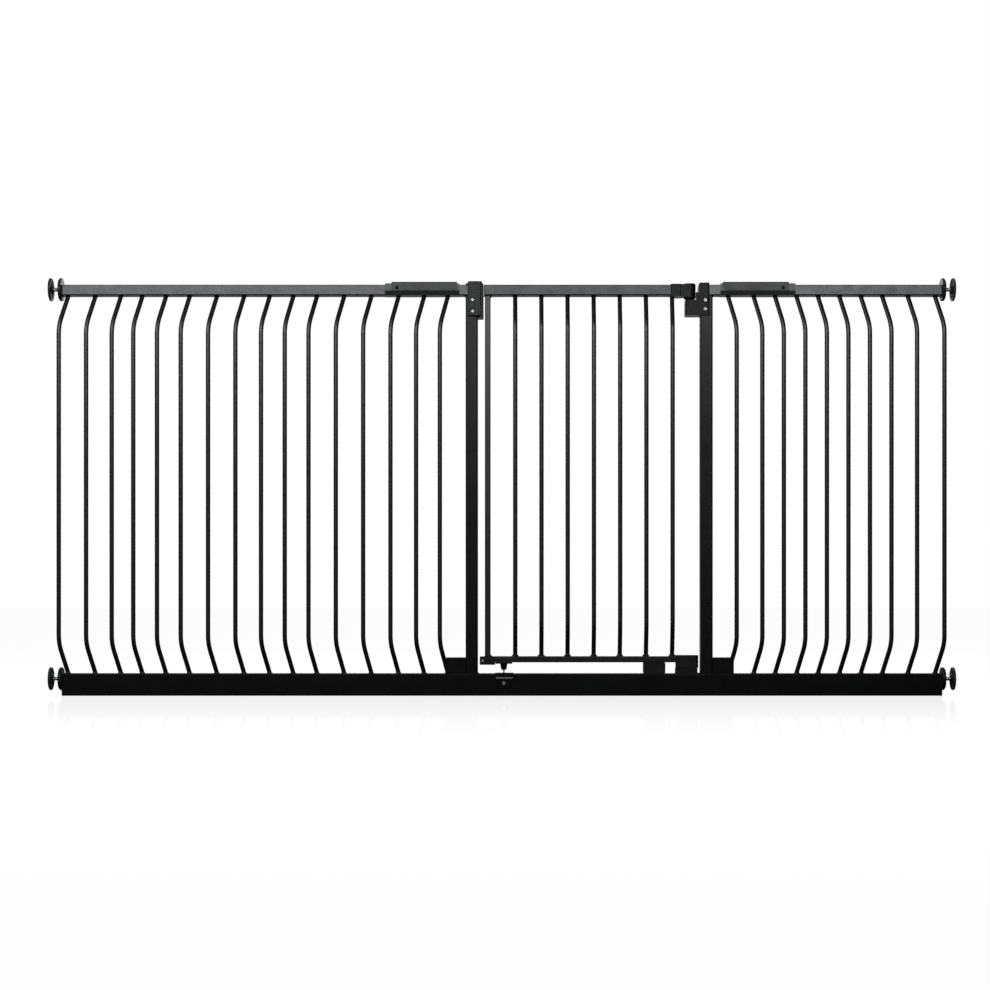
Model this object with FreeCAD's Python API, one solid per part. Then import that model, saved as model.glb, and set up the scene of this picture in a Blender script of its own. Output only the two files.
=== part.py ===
import FreeCAD, Part
import math
import os

V = FreeCAD.Vector

# ---------------------------------------------------------------------------
# A pressure-fit safety gate: a U-frame with a door, one bar panel on each
# side and a screw-out wall pad at each corner.
# Millimetres. +X runs along the gate, +Y away from the front, +Z up.
# The origin is on the floor, midway between the wall pads.
# ---------------------------------------------------------------------------

# Overall
PAD_FACE_X = 1103.0        # centre to the outer face of a wall pad
RAIL_TOP = 1000.0
BASE_HEIGHT = 54.0

# Tubes
RAIL_HEIGHT = 26.0
TUBE_DEPTH = 34.0          # front to back, every rail and post
TUBE_WALL = 1.5
TUBE_CORNER = 1.8
POST_CORNER = 4.0
RAIL_END_X = 1069.0        # centre to the outer end of a panel's rails
BASE_LEFT = -135.6
BASE_RIGHT = 564.7
LEFT_POST_X = -73.4
RIGHT_POST_X = 498.1
POST_WIDTH = 30.0

# Bars
BAR_RADIUS = 5.5
BAR_WALL = 1.0
BOW_OUT = 19.0             # how far a panel's bars stand out sideways
BOW_FORWARD = 20.0         # how far every bar stands forward of the rails
BOW_RISE = 73.0            # height over which a bar slopes out
BEND_RADIUS = 110.0
WIDE = 66.4
MEDIUM = 62.3
NARROW = 57.7
TIGHT = 52.3
LEFT_FIRST_BAR = -1058.0   # outermost bar of the left panel, at the rails
RIGHT_FIRST_BAR = 551.6    # innermost bar of the right panel, at the rails
LEFT_PITCHES = (WIDE, MEDIUM, TIGHT, NARROW, NARROW, WIDE, WIDE, MEDIUM,
                NARROW, NARROW, WIDE, WIDE, WIDE, MEDIUM, NARROW)
RIGHT_PITCHES = (MEDIUM, TIGHT, TIGHT, TIGHT, TIGHT, TIGHT, TIGHT, MEDIUM, WIDE)

# Rail joints beside the door
COVER_WALL = 1.5
COVER_CROWN = 3.4          # thickness of a cover's top
COVER_CORNER = 12.0        # the right cover's rounded lower corner
LINER_WALL = 1.5
LINER_CROWN = 3.0
LEFT_COVER = (-268.5, -109.3)
LEFT_LINER = (-284.4, -103.5)
RIGHT_COVER = (537.8, 697.7)
RIGHT_LINER = (531.5, 713.5)
COVER_LIP = 11.5           # rail left showing under a cover's front
JOINER_REACH = (120.0, 40.0)   # inner joining tube: into the panel, into the frame
FOOT_BRACKET_TOP = 93.0
FOOT_BRACKET_HALF_DEPTH = 12.0

# Wall pads, spindles and hand wheels
UPPER_SPINDLE_Z = 990.0
LOWER_SPINDLE_Z = 41.0
SPINDLE_RADIUS = 5.0
SPINDLE_LENGTH = 114.0
PAD_RADIUS = 28.0
PAD_THICKNESS = 6.0
WHEEL_RADIUS = 28.0
WHEEL_THICKNESS = 7.0
WHEEL_INNER_X = 1071.2     # centre to the face of a wheel that meets the plug
WHEEL_SCALLOPS = 24
WHEEL_SCALLOP_DEPTH = 0.7
PLUG_FLANGE = 1.8

# Door
DOOR_LEFT = -44.0
DOOR_RAIL_END = 410.7
DOOR_BOTTOM_RAIL = (81.0, 95.8)
DOOR_BOTTOM_DEPTH = 20.0
STILE_X = (-41.6, -27.6)
DOOR_BAR_FIRST = 32.4
DOOR_BAR_PITCH = 63.75
DOOR_BAR_COUNT = 7
HINGE_X = 457.5            # vertical hinge line, at Y = 0
PIN_RADIUS = 4.0
RUNNING_GAP = 0.05
PART_GAP = 0.3             # between pieces that move past each other
LIFT_TRAVEL = 12.0
KNUCKLE_RADIUS = 11.5
KNUCKLE_Z = (925.0, 963.0)
LOBE_RADIUS = 15.0
HINGE_CAP_Z = (971.0, 1002.0)

# Latch
HOUSING_X = (-82.7, -51.9)
HOUSING_Z = (924.0, 1003.4)
HOUSING_DEPTH = 29.0       # half, front to back
RECESS_RADIUS = 6.2        # the screws' recesses in the covers
RECESS_DEPTH = 5.0
KEEPER_X = (-58.3, -44.8)
BOLT_Z = (991.0, 997.0)
BOLT_HALF_WIDTH = 5.0
BOLT_TRAVEL = 10.0
TAB_X = (-70.0, -62.0)     # the tab that joins the bolt to its thumb slide
TAB_HALF_WIDTH = 2.5
CAP_TOP = 1006.9
CAP_SLOPE = 6.5            # the cap's sloped end, over the keeper

# Screw places, (x, z)
LATCH_SCREWS = ((-71.3, 962.0), (-71.3, 934.8))
HINGE_SCREWS = ((494.3, 962.0), (494.3, 940.5))
COVER_SCREWS = ((-255.0, 992.5), (684.0, 992.5))
FITTING_SCREWS = ((-46.5, 85.0),)

# Foot pin and its catch
FOOT_PIN_X = 4.6
FOOT_PIN_RADIUS = 1.8
FOOT_PIN_TRAVEL = 8.0

# Values worked out from the above
HALF_DEPTH = TUBE_DEPTH / 2
RAIL_BOTTOM = RAIL_TOP - RAIL_HEIGHT
AXES = {"X": V(1, 0, 0), "Y": V(0, 1, 0), "Z": V(0, 0, 1)}


# ---------------------------------------------------------------------------
# Shape helpers
# ---------------------------------------------------------------------------

def edges_along(solid, axis):
    """The straight edges of a solid that run along one axis."""
    chosen = []
    for edge in solid.Edges:
        run = edge.Vertexes[-1].Point - edge.Vertexes[0].Point
        if run.Length > 0 and abs(run.dot(AXES[axis])) > 0.999 * run.Length:
            chosen.append(edge)
    return chosen


def block(x, y, z, radius=0.0, along="Z"):
    """A block between three (low, high) limits, rounded along one axis."""
    solid = Part.makeBox(x[1] - x[0], y[1] - y[0], z[1] - z[0], V(x[0], y[0], z[0]))
    if radius > 0:
        solid = solid.makeFillet(radius, edges_along(solid, along))
    return solid


def tube(x, y, z, along, corner=TUBE_CORNER):
    """A square-cut rectangular tube that fills the given limits."""
    limits = {"X": x, "Y": y, "Z": z}
    inner = {}
    for axis, (low, high) in limits.items():
        inset = -1.0 if axis == along else TUBE_WALL
        inner[axis] = (low + inset, high - inset)
    outside = block(x, y, z, corner, along)
    inside = block(inner["X"], inner["Y"], inner["Z"], corner - TUBE_WALL, along)
    return outside.cut(inside)


def rod(start, end, radius):
    """A round rod between two points."""
    run = end - start
    return Part.makeCylinder(radius, run.Length, start, run)


def cone(start, end, start_radius, end_radius):
    """A tapered round piece between two points."""
    run = end - start
    return Part.makeCone(start_radius, end_radius, run.Length, start, run)


def mirrored_y(solid):
    """The same piece on the other side of the gate's middle plane."""
    return solid.mirror(V(0, 0, 0), V(0, 1, 0))


def both_faces(half_depth):
    """The (low, high) limits across the gate's middle plane."""
    return (-half_depth, half_depth)


def socket_screw(seat, outward, head_radius, head_height, shank_radius, shank_length):
    """A button-head screw with a hexagon socket, seated at a point."""
    head = Part.makeCylinder(head_radius, head_height, seat, outward)
    rim = [edge for edge in head.Edges if edge.Closed and
           (edge.CenterOfMass - seat).dot(outward) > head_height / 2]
    head = head.makeFillet(head_height * 0.6, rim)
    shank = rod(seat - outward * shank_length, seat, shank_radius)
    across = outward.cross(V(0, 0, 1))
    upward = across.cross(outward)
    floor = seat + outward * (head_height * 0.35)
    corners = []
    for corner in range(7):
        angle = math.radians(60 * corner)
        spoke = across * math.cos(angle) + upward * math.sin(angle)
        corners.append(floor + spoke * (head_radius * 0.5))
    socket = Part.Face(Part.makePolygon(corners)).extrude(outward * head_height)
    return head.fuse(shank).cut(socket)


def rounded_wire(points, radius):
    """Straight runs through the points, joined by tangent arcs."""
    edges = []
    start = points[0]
    for before, corner, after in zip(points, points[1:], points[2:]):
        incoming = (corner - before).normalize()
        outgoing = (after - corner).normalize()
        turn = incoming.getAngle(outgoing)
        trim = radius * math.tan(turn / 2)
        inward = (outgoing - incoming).normalize()
        middle = corner + inward * (radius / math.cos(turn / 2) - radius)
        arc_start = corner - incoming * trim
        arc_end = corner + outgoing * trim
        edges.append(Part.LineSegment(start, arc_start).toShape())
        edges.append(Part.Arc(arc_start, middle, arc_end).toShape())
        start = arc_end
    edges.append(Part.LineSegment(start, points[-1]).toShape())
    return Part.Wire(edges)


def bowed_rod(x, foot_z, head_z, sideways, radius):
    """A round rod that slopes out of one rail, runs upright and slopes back."""
    overrun = 4.0
    slope = V(sideways, -BOW_FORWARD, BOW_RISE)
    step = V(slope).normalize() * overrun
    foot = V(x, 0, foot_z)
    head = V(x, 0, head_z)
    back = V(slope.x, slope.y, -slope.z)
    step_back = V(back).normalize() * overrun
    path = rounded_wire([foot - step, foot + slope, head + back, head - step_back], BEND_RADIUS)
    ring = Part.Wire([Part.makeCircle(radius, foot - step, slope)])
    rod_shape = path.makePipeShell([ring], True, False)
    reach = 40.0
    between_rails = block((x - reach, x + reach), both_faces(reach), (foot_z, head_z))
    return rod_shape.common(between_rails)


def bowed_bar(x, foot_z, head_z, sideways):
    """One thin-walled bar between two rails."""
    outside = bowed_rod(x, foot_z, head_z, sideways, BAR_RADIUS)
    inside = bowed_rod(x, foot_z, head_z, sideways, BAR_RADIUS - BAR_WALL)
    return outside.cut(inside)


def group(solids):
    return Part.makeCompound(solids)


# ---------------------------------------------------------------------------
# U-frame
# ---------------------------------------------------------------------------

def base_tube():
    base = tube((BASE_LEFT, BASE_RIGHT), both_faces(HALF_DEPTH), (0, BASE_HEIGHT), "X")
    pin_hole = rod(V(FOOT_PIN_X, 0, BASE_HEIGHT - 5), V(FOOT_PIN_X, 0, BASE_HEIGHT + 5), 2.6)
    screw_hole = rod(V(FOOT_PIN_X, -HALF_DEPTH - 1, 30.5), V(FOOT_PIN_X, -HALF_DEPTH + 3, 30.5), 2.1)
    return base.cut(pin_hole).cut(screw_hole)


def post(x, screws):
    """A post from the base to the underside of its top stub."""
    upright = tube((x - POST_WIDTH / 2, x + POST_WIDTH / 2), both_faces(HALF_DEPTH),
                   (BASE_HEIGHT, RAIL_BOTTOM), "Z", POST_CORNER)
    return pierced(upright, screws)


def bolt_way(x):
    """The space the latch bolt and its tab need through a wall."""
    bolt_space = block(x, both_faces(BOLT_HALF_WIDTH + 0.4), (BOLT_Z[0] - 0.4, BOLT_Z[1] + 0.4))
    tab_space = block(x, both_faces(TAB_HALF_WIDTH + 0.4), (BOLT_Z[1], RAIL_TOP + 1))
    return bolt_space.fuse(tab_space)


def pierced(solid, seats):
    """Drill a hole right through, front to back, at each (x, z)."""
    for x, z in seats:
        solid = solid.cut(rod(V(x, -40, z), V(x, 40, z), 2.1))
    return solid


def top_stubs():
    """Short tubes across the posts' tops that meet the panels' top rails."""
    z = (RAIL_BOTTOM, RAIL_TOP)
    y = both_faces(HALF_DEPTH)
    door_side = (LEFT_POST_X + POST_WIDTH / 2, RIGHT_POST_X - POST_WIDTH / 2)
    tab_way = block((TAB_X[0] - 0.5, door_side[0] + 1), both_faces(TAB_HALF_WIDTH + 0.4),
                    (RAIL_TOP - 4, RAIL_TOP + 1))
    return group([tube((BASE_LEFT, door_side[0]), y, z, "X").cut(tab_way),
                  tube((door_side[1], BASE_RIGHT), y, z, "X")])


def right_stub_plug():
    """The plug in the right stub's open end, behind the hinge bracket."""
    end = RIGHT_POST_X - POST_WIDTH / 2
    slack = TUBE_WALL + 0.1
    return block((end + 0.2, end + 22.0), both_faces(HALF_DEPTH - slack),
                 (RAIL_BOTTOM + slack, RAIL_TOP - slack), 1.0, "X")


def foot_bracket(x, bar_x, sideways):
    """A folded box on the end of the base, with a notch that the last bar passes."""
    half_depth = FOOT_BRACKET_HALF_DEPTH
    shell = block(x, both_faces(half_depth), (BASE_HEIGHT, FOOT_BRACKET_TOP), 2.0, "X")
    wall = 2.0
    hollow = block((x[0] + wall, x[1] - wall), both_faces(half_depth - wall),
                   (BASE_HEIGHT - 1, FOOT_BRACKET_TOP - wall))
    notch = bowed_rod(bar_x, BASE_HEIGHT, RAIL_BOTTOM, sideways, BAR_RADIUS + 0.2)
    return shell.cut(hollow).cut(notch)


# ---------------------------------------------------------------------------
# Side panels
# ---------------------------------------------------------------------------

def top_rail(x, screw):
    rail = tube(x, both_faces(HALF_DEPTH), (RAIL_BOTTOM, RAIL_TOP), "X")
    return pierced(rail, [screw])


def bottom_rail(x):
    return tube(x, both_faces(HALF_DEPTH), (0, BASE_HEIGHT), "X")


def panel_bars(first_x, pitches, sideways):
    x = first_x
    bars = [bowed_bar(x, BASE_HEIGHT, RAIL_BOTTOM, sideways)]
    for pitch in pitches:
        x += pitch
        bars.append(bowed_bar(x, BASE_HEIGHT, RAIL_BOTTOM, sideways))
    return group(bars)


def saddle(x, half_depth, top, bottom, wall, crown, corner):
    """A channel that sits over a rail, open below, with its own top thickness."""
    shell = block(x, both_faces(half_depth), (bottom - 10, top), corner, "X")
    hollow = block((x[0] - 1, x[1] + 1), both_faces(half_depth - wall), (bottom - 11, top - crown))
    below = block((x[0] - 1, x[1] + 1), both_faces(half_depth + 1), (bottom - 12, bottom))
    return shell.cut(hollow).cut(below)


def rail_liner(x, screw):
    """The plastic sleeve between a rail joint and its cover."""
    half_depth = HALF_DEPTH + LINER_WALL + 0.1
    top = RAIL_TOP + LINER_CROWN + 0.1
    liner = saddle(x, half_depth, top, RAIL_BOTTOM, LINER_WALL, LINER_CROWN, 1.4)
    return pierced(liner, [screw])


def rail_cover(x, screw, round_end, corner_radius):
    """The steel cover over a rail joint, its lower corner rounded at one end."""
    half_depth = HALF_DEPTH + LINER_WALL + COVER_WALL + 0.2
    bottom = RAIL_BOTTOM + COVER_LIP
    top = RAIL_TOP + LINER_CROWN + COVER_CROWN + 0.2
    cover = saddle(x, half_depth, top, bottom, COVER_WALL, COVER_CROWN, 1.4)
    toward = 1.0 if round_end == x[0] else -1.0
    square = block(sorted_pair(round_end, round_end + toward * corner_radius), both_faces(half_depth + 1),
                   (bottom - 1, bottom + corner_radius))
    centre = V(round_end + toward * corner_radius, -half_depth - 1, bottom + corner_radius)
    round_part = Part.makeCylinder(corner_radius, 2 * half_depth + 2, centre, V(0, 1, 0))
    return pierced(cover.cut(square.cut(round_part)), [screw])


def sorted_pair(a, b):
    return (min(a, b), max(a, b))


def joining_tubes():
    """Inner tubes that hold each panel's rails in line with the U-frame."""
    slack = TUBE_WALL + 0.3
    y = both_faces(HALF_DEPTH - slack)
    into_panel, into_frame = JOINER_REACH
    tubes = []
    for bottom, top in ((0, BASE_HEIGHT), (RAIL_BOTTOM, RAIL_TOP)):
        z = (bottom + slack, top - slack)
        tubes.append(tube((BASE_LEFT - into_panel, BASE_LEFT + into_frame), y, z, "X"))
        tubes.append(tube((BASE_RIGHT - into_frame, BASE_RIGHT + into_panel), y, z, "X"))
    return pierced(group(tubes), COVER_SCREWS)


# ---------------------------------------------------------------------------
# Corners: plug, spindle, wall pad and hand wheel
# ---------------------------------------------------------------------------

def end_plug(side, spindle_z, z):
    """The plug in a rail's outer end, which guides the spindle."""
    outer = side * RAIL_END_X
    slack = TUBE_WALL + 0.1
    body = block(sorted_pair(outer, outer - side * 30), both_faces(HALF_DEPTH - slack),
                 (z[0] + slack, z[1] - slack), 1.0, "X")
    flange_x = sorted_pair(outer, outer + side * PLUG_FLANGE)
    flange = block(flange_x, both_faces(HALF_DEPTH), z, TUBE_CORNER, "X")
    bore = rod(V(outer - side * 40, 0, spindle_z), V(outer + side * 10, 0, spindle_z),
               SPINDLE_RADIUS + RUNNING_GAP)
    return body.fuse(flange).cut(bore)


def end_plugs(spindle_z, z):
    return group([end_plug(side, spindle_z, z) for side in (-1, 1)])


def spindle(side, z):
    """The threaded rod, its inner tip chamfered."""
    tip = side * (PAD_FACE_X - 2.5)
    tail = tip - side * SPINDLE_LENGTH
    chamfer = 1.5
    straight = rod(V(tail + side * chamfer, 0, z), V(tip, 0, z), SPINDLE_RADIUS)
    nose = cone(V(tail, 0, z), V(tail + side * chamfer, 0, z), SPINDLE_RADIUS - chamfer, SPINDLE_RADIUS)
    return straight.fuse(nose)


def wall_pad(side, z):
    """The round foot that presses on the wall, with a hub for the spindle."""
    outer = V(side * PAD_FACE_X, 0, z)
    inward = V(-side, 0, 0)
    disc = Part.makeCylinder(PAD_RADIUS, PAD_THICKNESS, outer, inward)
    rims = [edge for edge in disc.Edges if edge.Closed]
    disc = disc.makeFillet(1.6, rims)
    hub = Part.makeCone(11.0, 8.0, 4.5, outer + inward * PAD_THICKNESS, inward)
    bore = Part.makeCylinder(SPINDLE_RADIUS + 0.05, 20.0, outer + inward * 2.4, inward)
    return disc.fuse(hub).cut(bore)


def hand_wheel(side, z):
    """The nut wheel, scalloped for the fingers."""
    inner = V(side * WHEEL_INNER_X, 0, z)
    outward = V(side, 0, 0)
    disc = Part.makeCylinder(WHEEL_RADIUS, WHEEL_THICKNESS, inner, outward)
    disc = disc.makeFillet(2.0, [edge for edge in disc.Edges if edge.Closed])
    scallop_radius = 2.6
    ring = WHEEL_RADIUS + scallop_radius - WHEEL_SCALLOP_DEPTH
    for scallop in range(WHEEL_SCALLOPS):
        angle = 2 * math.pi * (scallop + 0.5) / WHEEL_SCALLOPS
        centre = inner + V(-side, ring * math.sin(angle), ring * math.cos(angle))
        disc = disc.cut(Part.makeCylinder(scallop_radius, WHEEL_THICKNESS + 2, centre, outward))
    hub = Part.makeCylinder(10.0, 2.5, inner + outward * WHEEL_THICKNESS, outward)
    bore = Part.makeCylinder(SPINDLE_RADIUS + RUNNING_GAP, 20.0, inner - outward * 5, outward)
    return disc.fuse(hub).cut(bore)


# ---------------------------------------------------------------------------
# Latch on the left post
# ---------------------------------------------------------------------------

def latch_cover(face_y):
    """The moulded shell on the post's front; face_y is its outer face."""
    inner_y = -HALF_DEPTH - 0.2
    shell = block(HOUSING_X, (face_y, inner_y), HOUSING_Z, 1.6, "Z")
    wall = 2.2
    hollow = block((HOUSING_X[0] + wall, HOUSING_X[1] - wall), (face_y + wall, inner_y + 1),
                   (HOUSING_Z[0] + wall, HOUSING_Z[1] - wall))
    shell = shell.cut(hollow)
    for x, z in LATCH_SCREWS:
        shell = shell.fuse(rod(V(x, face_y + 1, z), V(x, inner_y, z), RECESS_RADIUS + 1.0))
    for x, z in LATCH_SCREWS:
        shell = shell.cut(rod(V(x, face_y - 1, z), V(x, face_y + RECESS_DEPTH, z), RECESS_RADIUS))
    return pierced(shell, LATCH_SCREWS)


def latch_keeper():
    """The block between the covers that the door closes against."""
    body = block(KEEPER_X, both_faces(HALF_DEPTH), (918.5, RAIL_TOP), 3.0, "Z")
    slot = bolt_way((KEEPER_X[0] - 1, KEEPER_X[1] + 1))
    groove = block((KEEPER_X[1] - 2.0, KEEPER_X[1] + 1), both_faces(9.0), (930.0, 972.0))
    return body.cut(slot).cut(groove)


def latch_top_cap():
    post_left = LEFT_POST_X - POST_WIDTH / 2
    plate = block((post_left, KEEPER_X[1]), both_faces(HALF_DEPTH), (RAIL_TOP, HOUSING_Z[1]), 2.0, "Z")
    cap = block((HOUSING_X[0], KEEPER_X[1]), both_faces(HOUSING_DEPTH), (HOUSING_Z[1], CAP_TOP), 4.0, "Z")
    upper_rim = [edge for edge in cap.Edges if min(v.Z for v in edge.Vertexes) > CAP_TOP - 0.01]
    cap = cap.makeFillet(1.8, upper_rim)
    slot = block((TAB_X[0] - 0.5, TAB_X[1] + BOLT_TRAVEL + 0.5), both_faces(TAB_HALF_WIDTH + 0.4),
                 (RAIL_TOP - 1, CAP_TOP + 1))
    end = KEEPER_X[1] + 0.1
    side = HOUSING_DEPTH + 1
    outline = [V(end - CAP_SLOPE, -side, CAP_TOP + 0.1), V(end, -side, CAP_TOP + 0.1),
               V(end, -side, RAIL_TOP + 0.4), V(end - CAP_SLOPE, -side, CAP_TOP + 0.1)]
    slope = Part.Face(Part.makePolygon(outline)).extrude(V(0, 2 * side, 0))
    return plate.fuse(cap).cut(slot).cut(slope)


def latch_bolt():
    """The bolt, drawn back, with the tab that the thumb slide holds."""
    bar = block((-80.0, -45.0), both_faces(BOLT_HALF_WIDTH), BOLT_Z, 1.2, "X")
    tab = block(TAB_X, both_faces(TAB_HALF_WIDTH), (BOLT_Z[1] - 1, CAP_TOP + 0.3))
    return bar.fuse(tab)


def latch_thumb_slide():
    """The ridged slide on top of the cap."""
    z = (CAP_TOP + 0.3, CAP_TOP + 3.0)
    pad = block((-78.0, -56.0), both_faces(9.0), z, 4.0, "Z")
    for ridge in range(4):
        x = -73.5 + 4.5 * ridge
        groove = rod(V(x, -12, z[1] + 0.6), V(x, 12, z[1] + 0.6), 1.4)
        pad = pad.cut(groove)
    return pad


# ---------------------------------------------------------------------------
# Hinges
# ---------------------------------------------------------------------------

def upper_hinge_bracket():
    """Clasps the right post and its stub, and holds the knuckle under the door's lobe."""
    post_left = RIGHT_POST_X - POST_WIDTH / 2
    plate_y = HALF_DEPTH + 4.0
    web_left = HINGE_X + LOBE_RADIUS + 0.6
    web_top = 983.0
    neck_left = 478.0
    clasp = block((web_left, 504.6), both_faces(plate_y), (KNUCKLE_Z[0], 1004.6), 4.0, "Z")
    arm = block((HINGE_X - KNUCKLE_RADIUS, post_left + 10), both_faces(plate_y), KNUCKLE_Z, 7.0, "Z")
    around_post = block((post_left - 0.1, 520.0), both_faces(HALF_DEPTH + 0.1), (920.0, RAIL_TOP))
    relief = block((430.0, web_left), both_faces(plate_y + 5), (KNUCKLE_Z[1], 1010.0))
    groove_radius = (neck_left - web_left) / 2
    groove_x = web_left + groove_radius
    groove = block((web_left - 1, neck_left), both_faces(plate_y + 1), (web_top, 1010.0))
    groove_end = rod(V(groove_x, -plate_y - 1, web_top), V(groove_x, plate_y + 1, web_top), groove_radius)
    bore = rod(V(HINGE_X, 0, 900.0), V(HINGE_X, 0, 1010.0), PIN_RADIUS + RUNNING_GAP)
    bracket = clasp.fuse(arm).cut(around_post).cut(relief).cut(groove).cut(groove_end).cut(bore)
    return pierced(bracket.cut(shoulder_cut(neck_left, 1004.6, 6.0, plate_y)), HINGE_SCREWS)


def shoulder_cut(left, top, radius, half_depth):
    """What a rounded upper left corner takes off."""
    square = block((left - 1, left + radius), both_faces(half_depth + 1), (top - radius, top + 1))
    centre = V(left + radius, -half_depth - 2, top - radius)
    return square.cut(Part.makeCylinder(radius, 2 * half_depth + 4, centre, V(0, 1, 0)))


def upper_hinge_pin():
    return rod(V(HINGE_X, 0, KNUCKLE_Z[0] + 0.5), V(HINGE_X, 0, 997.0), PIN_RADIUS)


def door_hinge_cap():
    """The moulded end of the door's top rail, with a lobe on the hinge line."""
    body = block((DOOR_RAIL_END, 434.8), both_faces(HALF_DEPTH + 1.5), HINGE_CAP_Z, 2.0, "Z")
    bridge = block((430.0, HINGE_X), both_faces(LOBE_RADIUS), HINGE_CAP_Z)
    lobe = rod(V(HINGE_X, 0, 968.0), V(HINGE_X, 0, 1004.0), LOBE_RADIUS)
    rims = [edge for edge in lobe.Edges if edge.Closed]
    lobe = lobe.makeChamfer(1.5, rims)
    boss = cone(V(HINGE_X, 0, KNUCKLE_Z[1] + 0.5), V(HINGE_X, 0, 968.0), 9.0, LOBE_RADIUS - 1.5)
    slack = TUBE_WALL + 0.1
    insert = block((DOOR_RAIL_END - 28, DOOR_RAIL_END + 1), both_faces(HALF_DEPTH - slack),
                   (RAIL_BOTTOM + slack, RAIL_TOP - slack), 1.0, "X")
    bore = rod(V(HINGE_X, 0, 950.0), V(HINGE_X, 0, 998.0), PIN_RADIUS + RUNNING_GAP)
    return body.fuse(bridge).fuse(lobe).fuse(boss).fuse(insert).cut(bore)


CAM_BOSS_RADIUS = 15.0
CAM_END_RADIUS = 21.5
SEAT_TOP = 67.0
SEAT_STEP = 59.6


def lower_hinge_cam():
    """The hinge half on the door, round about the hinge line."""
    z = (SEAT_TOP + 0.5, 98.5)
    body = block((424.0, HINGE_X), both_faces(15.0), z, 2.0, "Z")
    end = rod(V(HINGE_X, 0, z[0]), V(HINGE_X, 0, z[1]), CAM_END_RADIUS)
    end = end.common(block((HINGE_X - 4, HINGE_X + 30), both_faces(15.0), z))
    boss = rod(V(HINGE_X, 0, SEAT_STEP + 0.4), V(HINGE_X, 0, z[0]), CAM_BOSS_RADIUS)
    notch = block((434.0, 466.0), (-16.0, -9.0), (96.0, 99.0))
    bore = rod(V(HINGE_X, 0, 50.0), V(HINGE_X, 0, 92.0), PIN_RADIUS + RUNNING_GAP)
    return body.fuse(end).fuse(boss).cut(notch).cut(bore)


def lower_hinge_seat():
    """The hinge half on the base, with a lip over the base's front."""
    body = block((423.0, 476.0), both_faces(15.0), (BASE_HEIGHT, SEAT_TOP), 2.0, "Z")
    pocket = rod(V(HINGE_X, 0, SEAT_STEP), V(HINGE_X, 0, 80.0), CAM_BOSS_RADIUS + 0.5)
    plate = block((423.0, 491.0), both_faces(HALF_DEPTH + 2.2), (49.0, BASE_HEIGHT + 1.6))
    post_left = RIGHT_POST_X - POST_WIDTH / 2
    around_base = block((420.0, 500.0), both_faces(HALF_DEPTH + 0.1), (40.0, BASE_HEIGHT))
    around_post = block((post_left - 0.1, 500.0), both_faces(HALF_DEPTH + 0.1), (40.0, 80.0))
    foot_outline = [V(478, -30, 57), V(492, -30, 57), V(492, -30, 50), V(478, -30, 57)]
    foot_cut = Part.Face(Part.makePolygon(foot_outline)).extrude(V(0, 60, 0))
    bore = rod(V(HINGE_X, 0, BASE_HEIGHT + 1.0), V(HINGE_X, 0, 80.0), PIN_RADIUS + RUNNING_GAP)
    seat = body.cut(pocket).fuse(plate)
    return seat.cut(around_base).cut(around_post).cut(foot_cut).cut(bore)


def lower_hinge_pin():
    return rod(V(HINGE_X, 0, BASE_HEIGHT + 1.3), V(HINGE_X, 0, 91.5), PIN_RADIUS)


# ---------------------------------------------------------------------------
# Door
# ---------------------------------------------------------------------------

def door_top_rail():
    return tube((DOOR_LEFT + 2.0, DOOR_RAIL_END), both_faces(HALF_DEPTH), (RAIL_BOTTOM, RAIL_TOP), "X")


def door_bottom_rail():
    rail = tube((DOOR_LEFT, 424.0), both_faces(DOOR_BOTTOM_DEPTH / 2), DOOR_BOTTOM_RAIL, "X")
    return rail.cut(rod(V(FOOT_PIN_X, 0, 80.0), V(FOOT_PIN_X, 0, 85.0), 2.4))


def door_stile():
    return tube(STILE_X, both_faces(DOOR_BOTTOM_DEPTH / 2), (DOOR_BOTTOM_RAIL[1], RAIL_BOTTOM), "Z")


def door_bars():
    """The door's bars; the last one ends under the hinge cap."""
    bars = []
    for bar in range(DOOR_BAR_COUNT):
        x = DOOR_BAR_FIRST + DOOR_BAR_PITCH * bar
        under_cap = x + BAR_RADIUS > DOOR_RAIL_END
        head_z = HINGE_CAP_Z[0] if under_cap else RAIL_BOTTOM
        bars.append(bowed_bar(x, DOOR_BOTTOM_RAIL[1], head_z, 0.0))
    return group(bars)


def door_latch_cap():
    """The plug in the door's free end, with the pocket for the bolt."""
    slack = TUBE_WALL + 0.1
    flange = block((DOOR_LEFT, DOOR_LEFT + 2.0), both_faces(HALF_DEPTH), (RAIL_BOTTOM, RAIL_TOP),
                   TUBE_CORNER, "X")
    insert = block((DOOR_LEFT + 1.0, DOOR_LEFT + 30.0), both_faces(HALF_DEPTH - slack),
                   (RAIL_BOTTOM + slack, RAIL_TOP - slack), 1.0, "X")
    pocket = block((DOOR_LEFT - 1, DOOR_LEFT + 14.0), both_faces(BOLT_HALF_WIDTH + 0.7),
                   (BOLT_Z[0] - LIFT_TRAVEL - 0.4, BOLT_Z[1] + 0.4))
    return flange.fuse(insert).cut(pocket)


def door_rest_block():
    """The block under the door that takes its weight off the hinge."""
    return block((344.7, 397.7), both_faces(14.0), (BASE_HEIGHT + 0.5, DOOR_BOTTOM_RAIL[0]), 2.5, "Y")


def door_foot_fitting():
    """The moulded shoe round the free end of the door's bottom rail."""
    x = (-54.1, -16.4)
    half = DOOR_BOTTOM_DEPTH / 2
    shoe = block(x, both_faces(half + 2.2), (75.1, 95.3), 2.0, "Y")
    rail_space = block((DOOR_LEFT - 0.1, x[1] + 1), both_faces(half + 0.1),
                       (DOOR_BOTTOM_RAIL[0] - 0.05, 100.0))
    return pierced(shoe.cut(rail_space), FITTING_SCREWS)


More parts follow.
